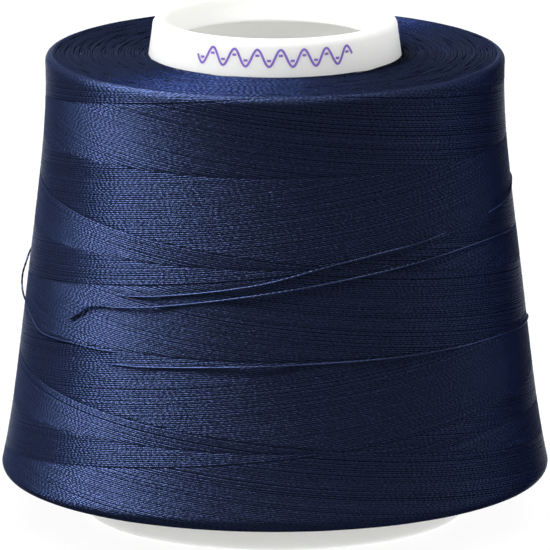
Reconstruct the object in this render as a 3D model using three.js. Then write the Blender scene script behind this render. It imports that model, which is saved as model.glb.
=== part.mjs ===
// A cone of serger thread: a hollow moulded core, the thread cross-wound on it as one package,
// and the loose outer end of that thread, which lies over the side of the package.
// Millimetres, +Z up. The origin is on the core's axis, at the bottom of its foot.
import * as THREE from "three";

// Core.
const CORE_HEIGHT = 69.5;
const FOOT_RADIUS = 26.4;
const CORE_TAPER = 0.1385; // radius lost for each millimetre of height
const WALL = 1.5;
const EDGE_ROUND = 0.4; // rounding of the foot's two edges
const BEAD_OUTER_ROUND = 1.15; // rounding of the top rim, outside its crest
const BEAD_INNER_ROUND = 0.7; // rounding of the top rim, inside its crest
const CREST_RADIUS = 15.8;
const HOLE_RADIUS = 13.4;
const BEAD_INNER_SWEEP = 0.4; // of a half turn, from the crest towards the lip
const LIP_INSET = 1.0; // where the dished lip begins, from the crest
const LIP_DROP = 1.4; // and below it
const HOLE_TOP = 66.6; // height where the lip ends at the hole
const LIP_THICKNESS = 0.5; // at the hole, where the lip thins out to an edge
const EDGE_BREAK = 0.15; // cut off the hole's two edges
const ROOT_FILLET = 0.3; // where the lip's underside meets the wall

// Thread package.
const PACKAGE_BOTTOM = 5.2;
const PACKAGE_TOP = 64.4;
const PACKAGE_RADIUS = 38.0; // the widest radius, just above the bottom rounding
const PACKAGE_TOP_RADIUS = 31.2;
const BOTTOM_ROUND = 1.6;
const SHOULDER_ROUND = 0.6;
// The slightly hollow side passes through these between its widest circle and its shoulder.
const SIDE_POINTS = [
  { radius: 36.65, height: 13.7 },
  { radius: 35.06, height: 26.7 },
  { radius: 32.97, height: 43.8 },
];
const GAP = 0.3; // kept between pieces that touch

// Loose end of the thread.
const END_DIAMETER = 0.3;
const END_SIDES = 8;
const END_STEPS = 60;

const LATHE_SEGMENTS = 64;
const ARC_STEPS = 5;
const SHOULDER_STEPS = 3;
const SIDE_STEPS = 10;

const HALF_TURN = Math.PI;
const QUARTER_TURN = Math.PI / 2;

const coreRadius = (z) => FOOT_RADIUS - CORE_TAPER * z;

/** Points of an arc about (r, z), from one angle to the other, both ends included. */
function arc(r, z, radius, from, to, steps = ARC_STEPS) {
  const points = [];
  for (let i = 0; i <= steps; i += 1) {
    const angle = from + ((to - from) * i) / steps;
    points.push(new THREE.Vector2(r + radius * Math.cos(angle), z + radius * Math.sin(angle)));
  }
  return points;
}

/** A closed outline in radius and height, turned about the axis into one solid. */
function latheSolid(outline) {
  return new THREE.LatheGeometry([...outline, outline[0].clone()], LATHE_SEGMENTS);
}

function coreOutline() {
  const innerFoot = FOOT_RADIUS - WALL;
  const beadOuterHeight = CORE_HEIGHT - BEAD_OUTER_ROUND;
  const beadInnerHeight = CORE_HEIGHT - BEAD_INNER_ROUND;
  const lipBottom = HOLE_TOP - LIP_THICKNESS;
  const beadEnd = QUARTER_TURN + BEAD_INNER_SWEEP * HALF_TURN;
  const wallTop = coreRadius(HOLE_TOP) - WALL;
  return [
    ...arc(innerFoot + EDGE_ROUND, EDGE_ROUND, EDGE_ROUND, HALF_TURN, HALF_TURN + QUARTER_TURN),
    ...arc(FOOT_RADIUS - EDGE_ROUND, EDGE_ROUND, EDGE_ROUND, -QUARTER_TURN, 0),
    ...arc(CREST_RADIUS, beadOuterHeight, BEAD_OUTER_ROUND, 0, QUARTER_TURN),
    ...arc(CREST_RADIUS, beadInnerHeight, BEAD_INNER_ROUND, QUARTER_TURN, beadEnd).slice(1),
    new THREE.Vector2(CREST_RADIUS - LIP_INSET, CORE_HEIGHT - LIP_DROP),
    new THREE.Vector2(HOLE_RADIUS + EDGE_BREAK, HOLE_TOP),
    new THREE.Vector2(HOLE_RADIUS, HOLE_TOP - EDGE_BREAK),
    new THREE.Vector2(HOLE_RADIUS, lipBottom + EDGE_BREAK),
    new THREE.Vector2(HOLE_RADIUS + EDGE_BREAK, lipBottom),
    new THREE.Vector2(wallTop - ROOT_FILLET, HOLE_TOP - ROOT_FILLET),
    new THREE.Vector2(wallTop, HOLE_TOP - 3 * ROOT_FILLET),
  ];
}

/** The package's side, from its widest circle up to its shoulder. */
const packageSide = new THREE.SplineCurve([
  new THREE.Vector2(PACKAGE_RADIUS, PACKAGE_BOTTOM + BOTTOM_ROUND),
  ...SIDE_POINTS.map(({ radius, height }) => new THREE.Vector2(radius, height)),
  new THREE.Vector2(PACKAGE_TOP_RADIUS, PACKAGE_TOP - SHOULDER_ROUND),
]);

function packageOutline() {
  const bottomInner = new THREE.Vector2(coreRadius(PACKAGE_BOTTOM) + GAP, PACKAGE_BOTTOM);
  const topInner = new THREE.Vector2(coreRadius(PACKAGE_TOP) + GAP, PACKAGE_TOP);
  const bottomCentre = PACKAGE_BOTTOM + BOTTOM_ROUND;
  const shoulderRadius = PACKAGE_TOP_RADIUS - SHOULDER_ROUND;
  const shoulderHeight = PACKAGE_TOP - SHOULDER_ROUND;
  return [
    bottomInner,
    ...arc(PACKAGE_RADIUS - BOTTOM_ROUND, bottomCentre, BOTTOM_ROUND, -QUARTER_TURN, 0),
    ...packageSide.getPoints(SIDE_STEPS).slice(1, -1),
    ...arc(shoulderRadius, shoulderHeight, SHOULDER_ROUND, 0, QUARTER_TURN, SHOULDER_STEPS),
    topInner,
  ];
}

/** The package's radius at a height on its side. */
function sideRadius(z) {
  const points = packageSide.getPoints(SIDE_STEPS);
  const next = points.findIndex((point) => point.y >= z);
  const above = points[next];
  const below = points[next - 1];
  return below.x + ((above.x - below.x) * (z - below.y)) / (above.y - below.y);
}

// The loose end's route over the side, from where it comes out of the winding to its cut tip:
// the angle about the axis, from the front towards +X, in degrees, and the height.
const END_ROUTE = [
  [79, 41.0],
  [64, 41.5],
  [45, 41.2],
  [33, 40.5],
  [20, 39.6],
  [6, 38.4],
  [-9, 37.0],
  [-27, 35.2],
  [-38, 34.3],
  [-44, 34.0],
  [-48, 33.4],
  [-51, 32.2],
  [-54, 31.2],
];

function looseEndGeometry() {
  const lift = GAP + END_DIAMETER;
  const points = END_ROUTE.map(([degrees, z]) => {
    const angle = THREE.MathUtils.degToRad(degrees);
    const radius = sideRadius(z) + lift;
    return new THREE.Vector3(radius * Math.sin(angle), -radius * Math.cos(angle), z);
  });
  const section = new THREE.Shape();
  for (let i = 0; i < END_SIDES; i += 1) {
    const angle = (2 * Math.PI * i) / END_SIDES;
    const x = 0.5 * END_DIAMETER * Math.cos(angle);
    const y = 0.5 * END_DIAMETER * Math.sin(angle);
    if (i === 0) {
      section.moveTo(x, y);
    } else {
      section.lineTo(x, y);
    }
  }
  section.closePath();
  return new THREE.ExtrudeGeometry(section, {
    steps: END_STEPS,
    extrudePath: new THREE.CatmullRomCurve3(points),
  });
}

function namedMesh(name, geometry, material) {
  const mesh = new THREE.Mesh(geometry, material);
  mesh.name = name;
  return mesh;
}

/** A lathe turns about Y: this stands its axis up along Z. */
function turned(name, outline, material) {
  const mesh = namedMesh(name, latheSolid(outline), material);
  mesh.rotation.x = QUARTER_TURN;
  return mesh;
}

const whitePlastic = new THREE.MeshStandardMaterial({ color: 0xe9e9e4, roughness: 0.4, metalness: 0 });
const navyThread = new THREE.MeshStandardMaterial({ color: 0x1a2450, roughness: 0.8, metalness: 0 });
const navyEnd = new THREE.MeshStandardMaterial({ color: 0x161f45, roughness: 0.8, metalness: 0 });

const spool = new THREE.Group();
spool.add(turned("cone_core", coreOutline(), whitePlastic));
spool.add(turned("thread_winding", packageOutline(), navyThread));
spool.add(namedMesh("thread_end", looseEndGeometry(), navyEnd));

export default spool;
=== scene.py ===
"""A cone of navy serger thread: a hollow moulded core, the thread cross-wound on it strand by strand,
the wraps and the slack loop that lie on top, and the loose cut end. Metres, +Z up, the front at -Y."""

import math

import bpy
import numpy as np
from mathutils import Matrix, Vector


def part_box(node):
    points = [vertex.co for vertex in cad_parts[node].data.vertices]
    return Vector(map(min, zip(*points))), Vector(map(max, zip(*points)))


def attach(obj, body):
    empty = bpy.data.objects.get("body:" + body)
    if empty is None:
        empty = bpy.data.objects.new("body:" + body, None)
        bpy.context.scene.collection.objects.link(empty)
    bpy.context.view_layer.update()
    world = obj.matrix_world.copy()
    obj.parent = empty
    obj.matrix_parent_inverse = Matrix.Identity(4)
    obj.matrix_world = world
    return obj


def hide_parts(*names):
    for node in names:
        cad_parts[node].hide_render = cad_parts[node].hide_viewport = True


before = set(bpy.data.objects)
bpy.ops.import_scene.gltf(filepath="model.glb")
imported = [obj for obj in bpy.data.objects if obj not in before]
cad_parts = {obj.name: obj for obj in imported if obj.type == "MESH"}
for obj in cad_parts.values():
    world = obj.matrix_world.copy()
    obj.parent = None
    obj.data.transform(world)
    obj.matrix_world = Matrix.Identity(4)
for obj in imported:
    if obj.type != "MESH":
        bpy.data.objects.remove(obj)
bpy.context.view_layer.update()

MM = 0.001
TURN = 2 * math.pi
rng = np.random.default_rng(7)

# Camera and lights.
AIM_HEIGHT = 32.9 * MM
CAMERA_DISTANCE = 1500 * MM
CAMERA_ELEVATION = math.radians(12.5)
LENS = 706.9  # millimetres, on a 36 mm sensor
LIGHT_DISTANCE = 0.9

# Package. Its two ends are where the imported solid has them.
PACKAGE_LOW, PACKAGE_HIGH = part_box("thread_winding")
PACKAGE_BOTTOM = PACKAGE_LOW[2]
PACKAGE_TOP = PACKAGE_HIGH[2]
BOTTOM_ROUND = 1.6 * MM
SHOULDER_ROUND = 0.9 * MM
CORE_GAP = 0.3 * MM

# Core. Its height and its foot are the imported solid's, and the rest repeats the solid's own sizes.
CORE_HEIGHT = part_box("cone_core")[1][2]
FOOT_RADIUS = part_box("cone_core")[1][0]
CORE_TAPER = 0.1385  # radius lost for each unit of height
WALL = 1.5 * MM
CREST_RADIUS = 15.8 * MM
HOLE_RADIUS = 13.4 * MM
HOLE_TOP = 66.6 * MM
LIP_EDGE = 0.5 * MM  # the lip's thickness at the hole

# Ink line on the collar.
PRINT_HEIGHT = 67.0 * MM
PRINT_HALF_WIDTH = 0.16 * MM
PRINT_DEPTH = 0.03 * MM  # above the surface, and below it

# Thread and how it is wound. The core turns a little more than five times while the guide goes up and
# down once, so each double stroke lands one strand beside the one before, and the sweep repeats.
THREAD_WIDTH = 0.275 * MM  # a strand laid on the package, pressed a little flat
THREAD_CROWN = 0.1 * MM  # height of its rounded top
LAYER_DEPTH = 0.16 * MM  # how far a covered strand lies under the ones on top
STRANDS_PER_SWEEP = 96
TURNS_PER_STROKE = (5 + 1 / STRANDS_PER_SWEEP) / 2
STEP_DEGREES = 3.0  # of turn, between a strand's samples
WINDING_START = math.radians(193)  # angle of the newest stroke's lowest point, from the front towards +X
REVERSAL_ROUND = 1.0 * MM  # rounding where the guide turns back
TWIST_PITCH = 0.85 * MM  # from one ridge of the twist to the next
TWIST_SPREAD = 0.15  # how much the pitch differs between strands
BOTTOM_REACH = 0.9 * MM  # how far past the bottom rounding a stroke turns, before its turn is rounded
TOP_REACH = 1.1 * MM  # and how far past the shoulder
FACE_REACH = 0.3 * MM  # how far a strand may stray onto the end faces
WOBBLE = 0.014 * MM  # slow sideways waves of a strand
LIFT_SPREAD = 0.006 * MM  # how much strands differ in height
TUBE_RINGS = 900  # along a strand that lies on top

# Loose end of the thread: its route over the side, as the angle from the front towards +X, in
# degrees, and the height in millimetres. The lift is how far the strand's middle is from the side.
END_DIAMETER = 0.3 * MM
END_ROUTE = [
    (79, 41.0),
    (64, 41.5),
    (45, 41.2),
    (33, 40.5),
    (20, 39.6),
    (6, 38.4),
    (-9, 37.0),
    (-27, 35.2),
    (-38, 34.3),
    (-44, 34.0),
    (-48, 33.4),
    (-51, 32.2),
    (-54, 31.2),
]
END_LIFT = 0.24 * MM

# Strands that lie slack on the package: angle, height and lift in millimetres.
SLACK_DIAMETER = 0.28 * MM

# The last whole wrap crosses above the loose end, and dives under at both of its ends.
WRAP_ROUTE = [
    (-44, 35.6, -0.15),
    (-34, 36.1, 0.10),
    (-26, 36.7, 0.2),
    (-13, 37.9, 0.2),
    (-1, 39.25, 0.2),
    (13, 41.3, 0.2),
    (25, 42.5, 0.2),
    (40, 43.6, 0.2),
    (69, 45.3, 0.2),
    (90, 46.6, 0.1),
    (104, 47.4, -0.15),
]

# A wrap lower down, nearly level, lies on top as well.
LOW_ROUTE = [
    (-44, 26.2, -0.15),
    (-37, 26.5, 0.1),
    (-29, 26.8, 0.2),
    (-14, 27.5, 0.2),
    (2.5, 28.0, 0.2),
    (25, 28.2, 0.2),
    (46, 28.2, 0.2),
    (70, 27.8, 0.2),
    (90, 27.0, 0.15),
    (104, 26.2, -0.15),
]

# The slack loop that stands off the left side.
LOOP_ROUTE = [
    (-104, 36.6, -0.15),
    (-97, 36.2, 0.0),
    (-93, 35.8, 0.2),
    (-90.5, 34.8, 0.45),
    (-89.8, 33.2, 0.75),
    (-89.3, 31.6, 0.7),
    (-86.5, 30.6, 0.4),
    (-80.5, 30.2, 0.25),
    (-73.7, 29.0, 0.2),
    (-67.4, 27.95, 0.2),
    (-60, 27.9, 0.2),
    (-51.7, 28.1, 0.2),
    (-43, 28.1, 0.15),
    (-36, 28.2, -0.15),
]


def radial(angle):
    """Unit vectors away from the axis, at angles from the front towards +X."""
    return np.stack([np.sin(angle), -np.cos(angle), np.zeros_like(angle)], -1)


# ---------------------------------------------------------------- package outline


def side_formula():
    """The package's radius as a polynomial in height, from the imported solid's own side."""
    corners = np.array([v.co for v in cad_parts["thread_winding"].data.vertices])
    heights = np.round(corners[:, 2], 5)
    radii = np.hypot(corners[:, 0], corners[:, 1])
    inside = (heights > PACKAGE_BOTTOM + BOTTOM_ROUND - 1e-5) & (heights < PACKAGE_TOP - SHOULDER_ROUND)
    levels = np.unique(heights[inside])
    outer = [radii[heights == level].max() for level in levels]
    return np.poly1d(np.polyfit(levels, outer, 4))


side_radius = side_formula()


def arc_points(centre, radius, start, end, count):
    angles = np.linspace(start, end, count)
    return np.stack([centre[0] + radius * np.cos(angles), centre[1] + radius * np.sin(angles)], -1)


def package_outline():
    """Radius and height along the package's surface: bottom face, side, then top face."""
    low = PACKAGE_BOTTOM + BOTTOM_ROUND
    high = PACKAGE_TOP - SHOULDER_ROUND
    low_radius = side_radius(low)
    high_radius = side_radius(high)
    heights = np.linspace(low, high, 200)
    return np.concatenate(
        [
            [[core_radius(PACKAGE_BOTTOM) + CORE_GAP, PACKAGE_BOTTOM]],
            arc_points((low_radius - BOTTOM_ROUND, low), BOTTOM_ROUND, -math.pi / 2, 0, 16)[:-1],
            np.stack([side_radius(heights), heights], -1),
            arc_points((high_radius - SHOULDER_ROUND, high), SHOULDER_ROUND, 0, math.pi / 2, 12)[1:],
            [[core_radius(PACKAGE_TOP) + CORE_GAP, PACKAGE_TOP]],
        ]
    )


def core_radius(height):
    return FOOT_RADIUS - CORE_TAPER * height


OUTLINE = package_outline()
OUTLINE_STEPS = np.hypot(*np.diff(OUTLINE, axis=0).T)
OUTLINE_RUN = np.concatenate([[0], np.cumsum(OUTLINE_STEPS)])
FACE_RUN = OUTLINE_RUN[1]  # run along the bottom face, from the core to the rounding
SIDE_END_RUN = OUTLINE_RUN[-2]


def on_package(run, angle, lift):
    """Points on the package at a run along its outline, and the surface's normals there."""
    ahead = run + 0.05 * MM
    behind = run - 0.05 * MM
    radius = np.interp(run, OUTLINE_RUN, OUTLINE[:, 0])
    height = np.interp(run, OUTLINE_RUN, OUTLINE[:, 1])
    rise = np.interp(ahead, OUTLINE_RUN, OUTLINE[:, 1]) - np.interp(behind, OUTLINE_RUN, OUTLINE[:, 1])
    growth = np.interp(ahead, OUTLINE_RUN, OUTLINE[:, 0]) - np.interp(behind, OUTLINE_RUN, OUTLINE[:, 0])
    length = np.hypot(rise, growth)
    out = radial(angle)
    up = np.array([0, 0, 1.0])
    normal = out * (rise / length)[..., None] - up * (growth / length)[..., None]
    point = out * radius[..., None] + up * height[..., None]
    return point + normal * np.asarray(lift)[..., None], normal


def run_at_height(height):
    """The run along the outline at a height on the side."""
    side = slice(1, -1)
    return np.interp(height, OUTLINE[side, 1], OUTLINE_RUN[side])


# ---------------------------------------------------------------- mesh builders


def add_object(name, points, faces, material, smooth=True):
    mesh = bpy.data.meshes.new(name)
    mesh.from_pydata(points.tolist(), [], faces)
    mesh.polygons.foreach_set("use_smooth", [smooth] * len(mesh.polygons))
    mesh.materials.append(material)
    obj = bpy.data.objects.new(name, mesh)
    bpy.context.scene.collection.objects.link(obj)
    return obj


def grid_faces(rows, columns, wrap_rows=False, wrap_columns=False):
    row_count = rows if wrap_rows else rows - 1
    column_count = columns if wrap_columns else columns - 1
    faces = []
    for i in range(row_count):
        below = i * columns
        above = ((i + 1) % rows) * columns
        for j in range(column_count):
            k = (j + 1) % columns
            faces.append((below + j, below + k, above + k, above + j))
    return faces


def lathe(name, outline, material, segments=256):
    """A closed outline in radius and height turned about +Z."""
    angles = np.linspace(0, TURN, segments, endpoint=False)
    out = radial(angles)
    points = out[:, None, :] * outline[None, :, 0, None]
    points[:, :, 2] = outline[None, :, 1]
    faces = grid_faces(segments, len(outline), wrap_rows=True, wrap_columns=True)
    return add_object(name, points.reshape(-1, 3), faces, material)


def quad_mesh(name, points, quads):
    """A smooth mesh straight from arrays, which is quick for a great many faces."""
    mesh = bpy.data.meshes.new(name)
    mesh.vertices.add(len(points))
    mesh.vertices.foreach_set("co", points.reshape(-1))
    mesh.loops.add(quads.size)
    mesh.loops.foreach_set("vertex_index", quads.reshape(-1))
    mesh.polygons.add(len(quads))
    mesh.polygons.foreach_set("loop_start", np.arange(0, quads.size, 4))
    mesh.polygons.foreach_set("use_smooth", np.ones(len(quads), bool))
    mesh.update(calc_edges=True)
    return mesh


def strand_twist(middle, strand, linked):
    """How many ridges of the twist come before each sample, and the phase of its strand, from 0 to 1.
    Each strand has a pitch of its own, and its ridges slip a little back and forth."""
    step = np.linalg.norm(np.roll(middle, -1, 0) - middle, axis=1) * linked
    along = np.concatenate([[0], np.cumsum(step)[:-1]])
    twist_rng = np.random.default_rng(11)
    count = strand.max() + 1
    phase = twist_rng.random(count)[strand]
    spread = twist_rng.uniform(1 - TWIST_SPREAD, 1 + TWIST_SPREAD, count)
    pitch = TWIST_PITCH * spread[strand]
    slip = 0.35  # of a ridge
    slip_wave = 2.3 * MM
    scatter = 40  # radians, so that each strand slips at other places
    drift = slip * np.sin(along / slip_wave + scatter * phase)
    return along / pitch + drift + phase, phase


def strand_object(name, middle, normal, strand, linked, material):
    """Half-round strands as one mesh. middle and normal are one row per sample, strand is each sample's
    number, and linked says which samples join the next one."""
    ahead = np.where(linked[:, None], np.roll(middle, -1, 0) - middle, middle - np.roll(middle, 1, 0))
    ahead /= np.linalg.norm(ahead, axis=1)[:, None]
    across = np.cross(normal, ahead)
    across /= np.linalg.norm(across, axis=1)[:, None]
    bends = np.radians([-78, -42, 0, 42, 78])  # corners of the section, from its crown
    sides = len(bends)
    points = (
        middle[:, None, :]
        + across[:, None, :] * (0.5 * THREAD_WIDTH * np.sin(bends))[..., None]
        + normal[:, None, :] * (THREAD_CROWN * (np.cos(bends) - 0.5))[..., None]
    )
    first = np.flatnonzero(linked)
    corner = first[:, None] * sides + np.arange(sides - 1)[None, :]
    quads = np.stack([corner, corner + 1, corner + 1 + sides, corner + sides], -1).reshape(-1, 4)
    mesh = quad_mesh(name, points.reshape(-1, 3), quads)

    ridges, phase = strand_twist(middle, strand.astype(int), linked)
    run = np.repeat(ridges, sides)
    place = np.tile(bends / math.pi, len(middle))
    corners = quads.reshape(-1)
    twist = mesh.uv_layers.new(name="twist")
    twist.data.foreach_set("uv", np.stack([run[corners], place[corners]], -1).reshape(-1))
    tone_and_painted_light = mesh.attributes.new("tone_and_painted_light", "FLOAT", "POINT")
    tone_and_painted_light.data.foreach_set("value", np.repeat(phase, sides))
    mesh.materials.append(material)
    mesh.validate()
    obj = bpy.data.objects.new(name, mesh)
    bpy.context.scene.collection.objects.link(obj)
    return obj


def smooth_path(points, count):
    """count points evenly along a Catmull-Rom curve through the given ones."""
    points = np.asarray(points, float)
    padded = np.concatenate([[2 * points[0] - points[1]], points, [2 * points[-1] - points[-2]]])
    pieces = []
    for i in range(1, len(padded) - 2):
        t = np.linspace(0, 1, 40, endpoint=False)[:, None]
        a, b, c, d = padded[i - 1 : i + 3]
        pieces.append(
            0.5 * (2 * b + (c - a) * t + (2 * a - 5 * b + 4 * c - d) * t**2 + (3 * b - a - 3 * c + d) * t**3)
        )
    dense = np.concatenate([*pieces, points[-1:]])
    run = np.concatenate([[0], np.cumsum(np.linalg.norm(np.diff(dense, axis=0), axis=1))])
    even = np.linspace(0, run[-1], count)
    return np.stack([np.interp(even, run, dense[:, axis]) for axis in range(3)], -1)


def plied_tube(name, path, diameter, material, painted_light_levels, ends=0.35):
    """A two-ply thread along a path, closed at both ends: each ring is two lobes, turned by the twist.
    Its list of levels paints its colour lighter along its length, a painted highlight, as it lies on top and
    is less shaded than the strands of the winding."""
    sides = 12
    count = len(path)
    ahead = np.gradient(path, axis=0)
    ahead /= np.linalg.norm(ahead, axis=1)[:, None]
    out = path * np.array([1, 1, 0])
    out /= np.linalg.norm(out, axis=1)[:, None]
    across = np.cross(out, ahead)
    across /= np.linalg.norm(across, axis=1)[:, None]
    out = np.cross(ahead, across)
    run = np.concatenate([[0], np.cumsum(np.linalg.norm(np.diff(path, axis=0), axis=1))])
    around = np.linspace(0, TURN, sides, endpoint=False)
    turned = TURN * run[:, None] / (2 * TWIST_PITCH)
    lobes = 0.5 * diameter * (0.8 + 0.2 * np.abs(np.cos(around[None, :] - turned)))
    taper = np.ones(count)
    taper[0] = ends
    taper[-1] = ends
    reach = lobes * taper[:, None]
    points = (
        path[:, None, :]
        + across[:, None, :] * (reach * np.cos(around))[..., None]
        + out[:, None, :] * (reach * np.sin(around))[..., None]
    )
    faces = grid_faces(count, sides, wrap_columns=True)
    faces.append(tuple(range(sides))[::-1])
    faces.append(tuple((count - 1) * sides + j for j in range(sides)))
    obj = add_object(name, points.reshape(-1, 3), faces, material)
    # Painted highlight: the colour lightens along the strand where it lies on top.
    tone_and_painted_light = obj.data.attributes.new("tone_and_painted_light", "FLOAT", "POINT")
    along = np.interp(np.linspace(0, 1, count), np.linspace(0, 1, len(painted_light_levels)), painted_light_levels)
    tone_and_painted_light.data.foreach_set("value", np.repeat(along, sides))
    return obj


# ---------------------------------------------------------------- materials


def new_material(name, base, roughness):
    material = bpy.data.materials.new(name)
    material.use_nodes = True
    shader = material.node_tree.nodes["Principled BSDF"]
    shader.inputs["Base Color"].default_value = (*base, 1)
    shader.inputs["Roughness"].default_value = roughness
    return material, material.node_tree.nodes, material.node_tree.links, shader


def add_math(nodes, links, operation, *values):
    """A Math node's result, worked out from numbers and other nodes' outputs."""
    node = nodes.new("ShaderNodeMath")
    node.operation = operation
    for socket, value in zip(node.inputs, values):
        if isinstance(value, bpy.types.NodeSocket):
            links.new(value, socket)
        else:
            socket.default_value = value
    return node.outputs[0]


def add_noise(nodes, links, place, scale, detail=2):
    noise = nodes.new("ShaderNodeTexNoise")
    noise.inputs["Scale"].default_value = scale
    noise.inputs["Detail"].default_value = detail
    links.new(place, noise.inputs["Vector"])
    return noise.outputs["Fac"]


def blend_colours(nodes, links, value, low, high, shader):
    """Colours the surface along a value. low and high are each a place on the value and a colour."""
    ramp = nodes.new("ShaderNodeValToRGB")
    for element, (position, colour) in zip(ramp.color_ramp.elements, (low, high)):
        element.position = position
        element.color = (*colour, 1)
    links.new(value, ramp.inputs["Fac"])
    links.new(ramp.outputs["Color"], shader.inputs["Base Color"])


def add_bump(nodes, links, height, strength, distance, shader):
    bump = nodes.new("ShaderNodeBump")
    bump.inputs["Strength"].default_value = strength
    bump.inputs["Distance"].default_value = distance
    links.new(height, bump.inputs["Height"])
    links.new(bump.outputs["Normal"], shader.inputs["Normal"])


def thread_material(name, edge_tint, depth=1.0):
    """Navy spun polyester. The twisted plies show as slanting ridges with fine fibres along them. The colour
    is painted lighter on the ridges' crests and in fine specks: a painted highlight, and painted glints of
    the fibres mixed with random tone. Each strand is a little different, and each strand's colour darkens
    towards its edges, painted shade in the grooves between strands. edge_tint colours the reflection at a
    glancing angle, and depth scales both blues, which darkens the end faces' copy as painted shade."""
    material, nodes, links, shader = new_material(name, (0.007, 0.01, 0.026), 0.2)
    shader.inputs["Metallic"].default_value = 0.7
    shader.inputs["Specular IOR Level"].default_value = 0.0
    shader.inputs["Specular Tint"].default_value = (*edge_tint, 1)

    twist = nodes.new("ShaderNodeUVMap")
    twist.uv_map = "twist"
    split = nodes.new("ShaderNodeSeparateXYZ")
    links.new(twist.outputs["UV"], split.inputs[0])
    along, across = split.outputs["X"], split.outputs["Y"]
    slant = add_math(nodes, links, "ADD", along, across)
    ridge = add_math(nodes, links, "PINGPONG", slant, 0.5)
    stretched = nodes.new("ShaderNodeMapping")
    stretched.inputs["Scale"].default_value = (1.2, 14, 1)  # long along the strand, fine across it
    links.new(twist.outputs["UV"], stretched.inputs["Vector"])
    fibres = add_noise(nodes, links, stretched.outputs["Vector"], scale=1, detail=3)
    ridge_height = 2.7  # times the fibres'
    relief = add_math(nodes, links, "MULTIPLY_ADD", ridge, ridge_height, fibres)
    add_bump(nodes, links, relief, 0.8, 0.03 * MM, shader)

    where = nodes.new("ShaderNodeTexCoord")
    specks_and_glints = add_noise(nodes, links, where.outputs["Object"], scale=4200, detail=1)
    tone_and_painted_light = nodes.new("ShaderNodeAttribute")
    tone_and_painted_light.attribute_name = "tone_and_painted_light"
    # The tone is a sum of these, each with its weight, above a base of 0.19.
    # Fine lighter specks in the colour: partly random tone, partly painted glints of fibres catching the
    # light.
    tone = add_math(nodes, links, "MULTIPLY_ADD", specks_and_glints, 0.6, 0.19)
    # The twist's crests are painted lighter: a painted highlight on the plies.
    tone = add_math(nodes, links, "MULTIPLY_ADD", ridge, 0.3, tone)
    # Each winding strand's own random tone, and on the slack strands and the loose end a painted highlight.
    tone = add_math(nodes, links, "MULTIPLY_ADD", tone_and_painted_light.outputs["Fac"], 0.08, tone)
    # Painted shade: the colour darkens towards each strand's edges, where the grooves between strands are
    # shaded.
    painted_groove_shade = add_math(nodes, links, "MULTIPLY", across, across)
    tone = add_math(nodes, links, "MULTIPLY_ADD", painted_groove_shade, -1.1, tone)
    dark = (0.2, (0.0014 * depth, 0.0018 * depth, 0.0046 * depth))
    light = (1.0, (0.0155 * depth, 0.022 * depth, 0.05 * depth))
    blend_colours(nodes, links, tone, dark, light, shader)
    return material


def bed_material():
    """The older layers under the top one, seen only as dark gaps between strands."""
    material, nodes, links, shader = new_material("deep_thread", (0.006, 0.009, 0.03), 0.7)
    shader.inputs["Specular IOR Level"].default_value = 0.0
    where = nodes.new("ShaderNodeTexCoord")
    lines = nodes.new("ShaderNodeTexWave")
    lines.bands_direction = "Z"
    lines.inputs["Scale"].default_value = 1250
    lines.inputs["Distortion"].default_value = 1.5
    links.new(where.outputs["Object"], lines.inputs["Vector"])
    height = lines.outputs["Fac"]
    blend_colours(nodes, links, height, (0, (0.003, 0.005, 0.016)), (1, (0.014, 0.02, 0.06)), shader)
    add_bump(nodes, links, height, 1.0, 0.06 * MM, shader)
    return material


def plastic_material():
    """White moulded plastic, satin, with light passing a little way into it."""
    material, nodes, links, shader = new_material("white_plastic", (0.9, 0.9, 0.87), 0.38)
    shader.inputs["Subsurface Weight"].default_value = 0.6
    shader.inputs["Subsurface Radius"].default_value = (1.0, 0.95, 0.85)
    shader.inputs["Subsurface Scale"].default_value = 3.0 * MM
    shader.inputs["IOR"].default_value = 1.49
    where = nodes.new("ShaderNodeTexCoord")
    grain = add_noise(nodes, links, where.outputs["Object"], scale=900, detail=4)
    flow = add_noise(nodes, links, where.outputs["Object"], scale=45)
    blend_colours(nodes, links, flow, (0, (0.87, 0.87, 0.84)), (1, (0.92, 0.92, 0.9)), shader)
    gloss = nodes.new("ShaderNodeMapRange")
    gloss.inputs["To Min"].default_value = 0.32
    gloss.inputs["To Max"].default_value = 0.46
    links.new(grain, gloss.inputs["Value"])
    links.new(gloss.outputs["Result"], shader.inputs["Roughness"])
    add_bump(nodes, links, grain, 0.25, 0.02 * MM, shader)
    return material


def ink_material():
    """Purple pad-printed ink, slightly uneven in strength."""
    material, nodes, links, shader = new_material("purple_ink", (0.19, 0.09, 0.52), 0.45)
    where = nodes.new("ShaderNodeTexCoord")
    cover = add_noise(nodes, links, where.outputs["Object"], scale=700)
    blend_colours(nodes, links, cover, (0, (0.13, 0.05, 0.42)), (1, (0.33, 0.2, 0.68)), shader)
    return material


def floor_material():
    """The white table glows, which takes away most of the shadow on it."""
    material, _, _, shader = new_material("pale_floor", (0.08, 0.08, 0.08), 0.8)
    shader.inputs["Emission Color"].default_value = (1, 1, 1, 1)
    shader.inputs["Emission Strength"].default_value = 0.93
    return material


# ---------------------------------------------------------------- camera, light and floor


def make_camera():
    camera = bpy.data.objects.new("camera", bpy.data.cameras.new("camera"))
    camera.data.lens = LENS
    back = np.array([0, -math.cos(CAMERA_ELEVATION), math.sin(CAMERA_ELEVATION)])
    camera.location = np.array([0, 0, AIM_HEIGHT]) + CAMERA_DISTANCE * back
    camera.rotation_euler = (math.pi / 2 - CAMERA_ELEVATION, 0, 0)
    camera.data.clip_start = 0.01
    camera.data.clip_end = 50
    bpy.context.scene.collection.objects.link(camera)
    bpy.context.scene.camera = camera


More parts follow.
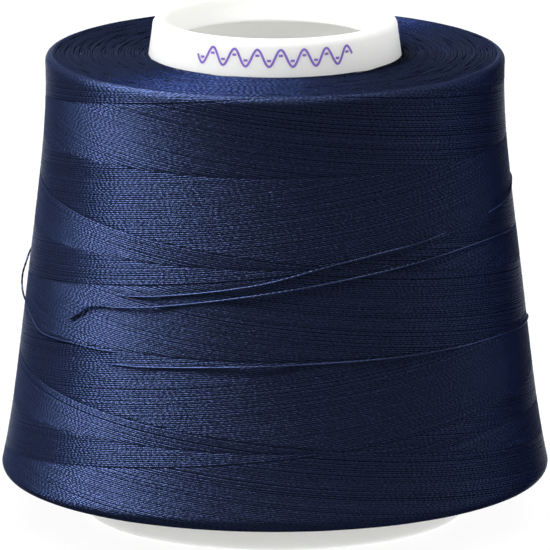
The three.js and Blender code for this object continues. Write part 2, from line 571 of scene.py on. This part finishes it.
def area_light(name, direction, size, power, colour=(1, 1, 1)):
    """A square soft light shining at the spool from a direction."""
    data = bpy.data.lights.new(name, "AREA")
    data.size = size
    data.energy = power
    data.color = colour
    light = bpy.data.objects.new(name, data)
    towards = np.array(direction) / np.linalg.norm(direction)
    light.location = np.array([0, 0, AIM_HEIGHT]) + LIGHT_DISTANCE * towards
    light.rotation_euler = Vector(-towards).to_track_quat("-Z", "Y").to_euler()
    bpy.context.scene.collection.objects.link(light)
    return light


def make_studio():
    world = bpy.data.worlds.new("studio")
    world.use_nodes = True
    world.node_tree.nodes["Background"].inputs["Color"].default_value = (1, 1, 1, 1)
    world.node_tree.nodes["Background"].inputs["Strength"].default_value = 1.0
    bpy.context.scene.world = world
    bpy.context.scene.view_settings.view_transform = "Standard"
    floor = add_object(
        "floor",
        np.array([[-5, -5, 0], [5, -5, 0], [5, 5, 0], [-5, 5, 0]], float),
        [(0, 1, 2, 3)],
        floor_material(),
        smooth=False,
    )


def light_only(name, pieces, *lights):
    """Keep lights to some of the pieces, as a photographer does with flags and cards."""
    group = bpy.data.collections.new(name)
    for piece in pieces:
        group.objects.link(piece)
    for light in lights:
        light.light_linking.receiver_collection = group


# ---------------------------------------------------------------- the winding


def smooth_step(value):
    part = np.clip(value, 0, 1)
    return part * part * (3 - 2 * part)


def crossing_age(number, progress):
    """Age, from 0 to 1, of the youngest strand of the other direction at places along a stroke."""
    return np.mod(2 * TURNS_PER_STROKE * (math.ceil(number / 2) - progress), 1)


def stroke_samples(number):
    """Progress from 0 to 1 along a stroke: even steps, with more where it goes under or over."""
    age = number / (2 * STRANDS_PER_SWEEP)
    even = np.linspace(0, 1, int(TURNS_PER_STROKE * 360 / STEP_DEGREES))
    fronts = np.arange(-1, 2 * TURNS_PER_STROKE + 2)
    steps = np.array([-3.0, -2.0, -1.0, 0.0, 1.0]) / STRANDS_PER_SWEEP
    extra = np.add.outer(fronts, np.concatenate([steps, age + steps])).ravel()
    extra += math.floor(2 * TURNS_PER_STROKE * (math.ceil(number / 2) - 1))
    extra = math.ceil(number / 2) - extra / (2 * TURNS_PER_STROKE)
    inside = extra[(extra > 0) & (extra < 1)]
    return np.unique(np.round(np.concatenate([even, inside]), 6))


def on_top(number, progress):
    """How far a stroke lies on top of the strands that cross it, from 0 to 1. It is covered by the
    younger ones, and goes under the youngest of all within a strand or two."""
    age = number / 2
    crossing = crossing_age(number, progress) * STRANDS_PER_SWEEP
    older = smooth_step((crossing - age + 2) / 4)
    dive = 1 - smooth_step((STRANDS_PER_SWEEP - crossing) / 2)
    return older * (1 - dive * min(age / 2, 1))


def rounded_ends(run, start, end):
    """Turns the sharp reversals of the guide into rounded ones."""
    low = run - start
    high = end - run
    return np.where(low < high, start + np.hypot(low, REVERSAL_ROUND), end - np.hypot(high, REVERSAL_ROUND))


def uneven_spacing(count):
    """How far each strand lies from its even place: pairs lie close, neighbours drift together, and
    here and there a gap is wider."""
    kept = 0.8  # of a strand's shift, by the next one
    step = 0.015 * MM
    widest = 4  # steps
    pair_shift = 0.012 * MM
    drift = [0.0]
    for _ in range(count - 1):
        jump = np.clip(rng.standard_t(2.5), -widest, widest)
        drift.append(kept * drift[-1] + float(jump) * step)
    return np.array(drift) + np.where(np.arange(count) % 2, pair_shift, -pair_shift)


def make_winding(material):
    """The newest sweep of thread over the side: the guide's climbing and falling strokes. Each stroke
    crosses over the older ones, which stay beneath it."""
    start = FACE_RUN - BOTTOM_REACH
    end = SIDE_END_RUN + TOP_REACH
    waves = (0.7, 1.6, 3.1)  # for each turn of the core
    columns = {}
    for climbs in (True, False):
        for sweep, shift in enumerate(uneven_spacing(STRANDS_PER_SWEEP)):
            number = 2 * sweep + climbs
            progress = stroke_samples(number)
            travel = progress if climbs else 1 - progress
            turned = (progress - number - 1) * TURNS_PER_STROKE
            wobble = sum(rng.normal(0, WOBBLE) * np.sin(TURN * (f * turned + rng.random())) for f in waves)
            run = rounded_ends(start + (end - start) * travel, start, end) + shift + wobble
            run = np.clip(run, FACE_RUN - FACE_REACH, SIDE_END_RUN + FACE_REACH)
            lift = LAYER_DEPTH * (on_top(number, progress) - 1) + rng.normal(0, LIFT_SPREAD)
            angle = WINDING_START + TURN * turned
            half = "newer" if sweep < STRANDS_PER_SWEEP / 2 else "older"
            name = f"{'climbing' if climbs else 'falling'}_strands_{half}"
            columns.setdefault(name, []).append((run, angle, lift, np.full(len(run), sweep)))
    made = []
    for name, strokes in columns.items():
        run, angle, lift, strand = (np.concatenate(column) for column in zip(*strokes))
        linked = strand == np.roll(strand, -1)
        linked[-1] = False
        middle, normal = on_package(run, angle, lift)
        made.append(strand_object(name, middle, normal, strand, linked, material))
    return made


def make_end_face(name, inner, outer, height, faces_up, material):
    """A flat end of the package: the strands' turning arcs, nearly circular, each diving at its ends."""
    pitch = 0.24 * MM
    step = 1.6 * MM  # between samples of an arc
    overlap = 0.1  # radians, at each end of an arc
    sag = 0.1 * MM  # how far an arc's ends bend towards the core
    sag_spread = 0.03 * MM
    lift_spread = 0.012 * MM
    shortest = 0.5  # arc, in radians
    longest = 1.3
    dive_from = 0.8  # of the way to an arc's ends
    rings = int((outer - inner) / pitch)
    columns = []
    strand = 0
    for i in range(rings):
        radius = inner + (i + 0.5) * pitch
        begin = rng.random() * TURN
        turned = 0.0
        while turned < TURN:
            span = rng.uniform(shortest, longest)
            count = int((span + 2 * overlap) * radius / step) + 3
            part = np.linspace(-overlap, span + overlap, count)
            place = np.abs(2 * (part / span) - 1)
            angle = begin + turned + part
            drop = -LAYER_DEPTH * np.clip(place - dive_from, 0, None) / (1 - dive_from)
            bow = rng.normal(0, sag_spread) - sag * place**2
            drop += rng.normal(0, lift_spread)
            columns.append((radius + bow, angle, drop, np.full(count, strand)))
            turned += span
            strand += 1
    radius, angle, lift, number = (np.concatenate(column) for column in zip(*columns))
    linked = number == np.roll(number, -1)
    linked[-1] = False
    up = 1.0 if faces_up else -1.0
    middle = radial(angle) * radius[:, None]
    middle[:, 2] = height + up * lift
    normal = np.tile([0, 0, up], (len(middle), 1))
    return strand_object(name, middle, normal, number, linked, material)


def make_bed(material):
    """The body of the package under its top layer of strands."""
    inset = 0.28 * MM  # the first and last points stay at the core
    outline = OUTLINE.copy()
    outline[1:-1, 0] -= inset
    outline[:, 1] = np.clip(outline[:, 1], PACKAGE_BOTTOM + inset, PACKAGE_TOP - inset)
    return lathe("package_bed", outline, material)


def route_points(route, lifts):
    """A route of angles in degrees and heights in millimetres, as points over the side."""
    angle = np.radians([stop[0] for stop in route])
    run = run_at_height(np.array([stop[1] for stop in route]) * MM)
    return on_package(run, angle, lifts)[0]


def make_loose_end(material):
    """The thread's loose end: the cord piece, two plies twisted, its cut tip turning down."""
    path = smooth_path(route_points(END_ROUTE, np.full(len(END_ROUTE), END_LIFT)), TUBE_RINGS)
    # The levels paint a highlight along the cord, fading out towards its cut tip.
    end = plied_tube("loose_end", path, END_DIAMETER, material, [5, 5, 5, 2, 0], ends=0.6)
    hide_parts("thread_end")
    return end


def make_slack_strand(name, route, material, painted_light_levels):
    lifts = np.array([stop[2] for stop in route]) * MM
    path = smooth_path(route_points(route, lifts), TUBE_RINGS)
    return plied_tube(name, path, SLACK_DIAMETER, material, painted_light_levels)


# ---------------------------------------------------------------- the core


def lip_outline():
    """Down the lip's dish, over the rounded edge of the hole, and out along its underside to the wall."""
    lip_bottom = HOLE_TOP - LIP_EDGE
    wall_top = core_radius(HOLE_TOP) - WALL
    return [
        (CREST_RADIUS - 0.78 * MM, CORE_HEIGHT - 0.95 * MM),
        (CREST_RADIUS - 0.98 * MM, CORE_HEIGHT - 1.35 * MM),
        (CREST_RADIUS - 1.3 * MM, CORE_HEIGHT - 1.85 * MM),
        (HOLE_RADIUS + 0.42 * MM, HOLE_TOP + 0.28 * MM),
        (HOLE_RADIUS + 0.18 * MM, HOLE_TOP + 0.04 * MM),
        (HOLE_RADIUS + 0.03 * MM, HOLE_TOP - 0.14 * MM),
        (HOLE_RADIUS, lip_bottom + 0.2 * MM),
        (HOLE_RADIUS + 0.1 * MM, lip_bottom + 0.08 * MM),
        (HOLE_RADIUS + 0.3 * MM, lip_bottom),
        (wall_top - 0.5 * MM, HOLE_TOP - 0.35 * MM),
        (wall_top - 0.12 * MM, HOLE_TOP - 0.65 * MM),
    ]


def core_outline():
    """The core's closed outline: up the outer wall, over the rim's bead, down its dished lip to the
    hole, and back down the inner wall."""
    edge = 0.4 * MM
    outer_round = 1.15 * MM
    inner_round = 0.7 * MM
    inner_foot = FOOT_RADIUS - WALL
    outer_bead = (CREST_RADIUS, CORE_HEIGHT - outer_round)
    inner_bead = (CREST_RADIUS, CORE_HEIGHT - inner_round)
    steps = 24
    wall_heights = np.linspace(HOLE_TOP - 1.2 * MM, 2 * edge, steps)
    inner_wall = np.stack([core_radius(wall_heights) - WALL, wall_heights], -1)
    outer_heights = np.linspace(2 * edge, CORE_HEIGHT - 1.6 * MM, steps)
    outer_wall = np.stack([core_radius(outer_heights), outer_heights], -1)
    return np.concatenate(
        [
            arc_points((inner_foot + edge, edge), edge, math.pi, 1.5 * math.pi, 6),
            arc_points((FOOT_RADIUS - edge, edge), edge, -math.pi / 2, 0, 6),
            outer_wall,
            arc_points(outer_bead, outer_round, 0, math.pi / 2, 9),
            arc_points(inner_bead, inner_round, 0.55 * math.pi, 0.9 * math.pi, 6),
            lip_outline(),
            inner_wall,
        ]
    )


def printed_strip(angles, heights, begin):
    """A thin closed strip of ink on the collar along a line: its points, and its faces, whose points are
    numbered from begin."""
    steps = np.stack([np.gradient(angles) * core_radius(PRINT_HEIGHT), np.gradient(heights)], -1)
    steps /= np.linalg.norm(steps, axis=1)[:, None]
    points = []
    for angle, height, (run, rise) in zip(angles, heights, steps):
        for side in (-1, 1):
            spot = height + side * PRINT_HALF_WIDTH * run
            turned = angle - side * PRINT_HALF_WIDTH * rise / core_radius(height)
            for depth in (PRINT_DEPTH, -PRINT_DEPTH):
                out = core_radius(spot) + depth
                points.append((out * math.sin(turned), -out * math.cos(turned), spot))
    last = begin + 4 * (len(angles) - 1)
    faces = []
    for a in range(begin, last, 4):
        b = a + 4
        faces.append((a, b, b + 2, a + 2))
        faces.append((a + 3, b + 3, b + 1, a + 1))
        faces.append((a + 2, b + 2, b + 3, a + 3))
        faces.append((a + 1, b + 1, b, a))
    faces.append((begin, begin + 2, begin + 3, begin + 1))
    faces.append((last + 1, last + 3, last + 2, last))
    return points, faces


def make_ornament(material):
    """A printed wavy stitch line round the front of the collar, with a dash in each of its bends."""
    swing = 1.15 * MM
    half_span = math.radians(38)
    waves = 7
    half_dash = 0.016  # radians
    dash_inset = 0.35 * MM  # from the middle height, into the bend
    wave = np.linspace(-half_span, half_span, 260)
    lines = [(wave, PRINT_HEIGHT + swing * np.sin(wave / half_span * waves * math.pi))]
    dash = np.linspace(-half_dash, half_dash, 8)
    for i in range(2 * waves):
        centre = (i + 0.5 - waves) / waves * half_span
        side = -1 if i % 2 else 1
        lines.append((centre + dash, np.full_like(dash, PRINT_HEIGHT - side * dash_inset)))
    points = []
    faces = []
    for angles, heights in lines:
        strip_points, strip_faces = printed_strip(angles, heights, len(points))
        points.extend(strip_points)
        faces.extend(strip_faces)
    return add_object("collar_ornament", np.array(points), faces, material, smooth=False)


# ---------------------------------------------------------------- assembly

make_camera()
thread = thread_material("navy_thread", (0.26, 0.29, 0.36))
# The end faces take a darker copy of the same thread, painted shade, with a weaker glancing tint.
shaded_end_thread = thread_material("navy_thread_shaded_ends", (0.05, 0.06, 0.08), 0.6)
loose_end = make_loose_end(thread)
# The lists paint each slack strand lighter where it lies on top: painted highlight.
last_wrap = make_slack_strand("last_wrap", WRAP_ROUTE, thread, [0, 5, 5, 5])
low_wrap = make_slack_strand("low_wrap", LOW_ROUTE, thread, [1, 5, 5, 3])
slack_loop = make_slack_strand("slack_loop", LOOP_ROUTE, thread, [0, 3, 5, 0])
make_studio()

strands = make_winding(thread)
top_face = make_end_face(
    "strands_top_face",
    core_radius(PACKAGE_TOP) + 0.1 * MM,
    OUTLINE[-2, 0],
    PACKAGE_TOP,
    True,
    shaded_end_thread,
)
bottom_face = make_end_face(
    "strands_bottom_face",
    core_radius(PACKAGE_BOTTOM) + 0.1 * MM,
    OUTLINE[1, 0],
    PACKAGE_BOTTOM,
    False,
    shaded_end_thread,
)
bed = make_bed(bed_material())
core = lathe("cone_core_moulding", core_outline(), plastic_material())
ornament = make_ornament(ink_material())

sides = [*strands, bed, last_wrap, low_wrap, slack_loop]
ends = [top_face, bottom_face]
wound = [*sides, *ends]
for piece in wound:
    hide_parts("thread_winding")
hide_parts("cone_core")
for piece in [*wound, loose_end, core, ornament]:
    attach(piece, "root")

# Size in metres and power in watts. The thread's sides and ends, and the core, each have lights of
# their own, beside the two that light all the thread.
key_light = area_light("key_light", (-0.8, 0.06, 0.58), 0.4, 31)
fill_light = area_light("fill_light", (-0.42, 0.0, 0.88), 0.5, 54)
line_light = area_light("line_light", (0.25, -0.05, 1.0), 0.3, 5.5)
side_light = area_light("side_light", (0.9, 0.3, 0.3), 0.5, 6.5, colour=(1.0, 0.85, 0.62))
top_light = area_light("top_light", (-0.3, 0.4, 0.87), 0.35, 34)
core_light = area_light("core_light", (-0.75, -0.15, 0.65), 0.6, 6)
light_only("thread_pieces", [*wound, loose_end], key_light, fill_light)
light_only("thread_sides", [*sides, loose_end], line_light, side_light)
light_only("thread_ends", ends, top_light)
light_only("core_pieces", [core, ornament], core_light)
